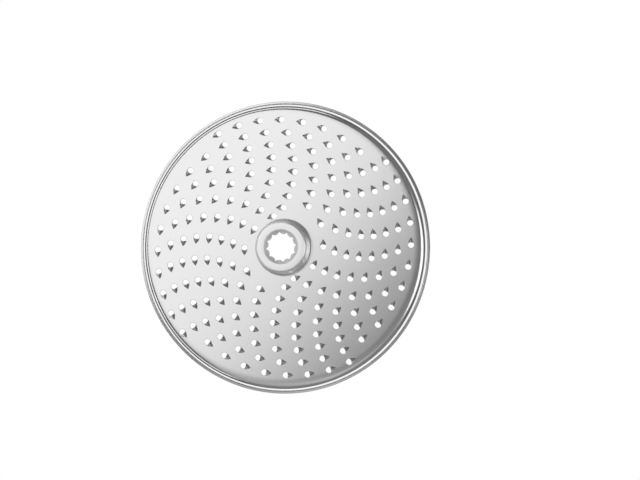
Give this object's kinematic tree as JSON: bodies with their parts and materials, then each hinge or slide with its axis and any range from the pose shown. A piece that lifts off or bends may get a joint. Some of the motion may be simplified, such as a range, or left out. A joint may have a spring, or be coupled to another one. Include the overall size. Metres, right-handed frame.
{
  "type": "food processor grating disc",
  "caption": "Pressed steel grating disc with spiral rows of punched teeth, a rolled-over rim and a raised hub with a star-shaped drive hole.",
  "frame": {"origin": "on the disc's axis, in the plane of the rim flange's underside, which the disc rests on", "axes": "+Z along the disc's axis, out of the toothed side; +X towards the first spiral arm"},
  "size_m": [0.14, 0.14, 0.0134],
  "materials": {
    "steel": "satin stainless sheet"
  },
  "bodies": {
    "root": {"grating_disc": "steel"}
  },
  "joints": []
}
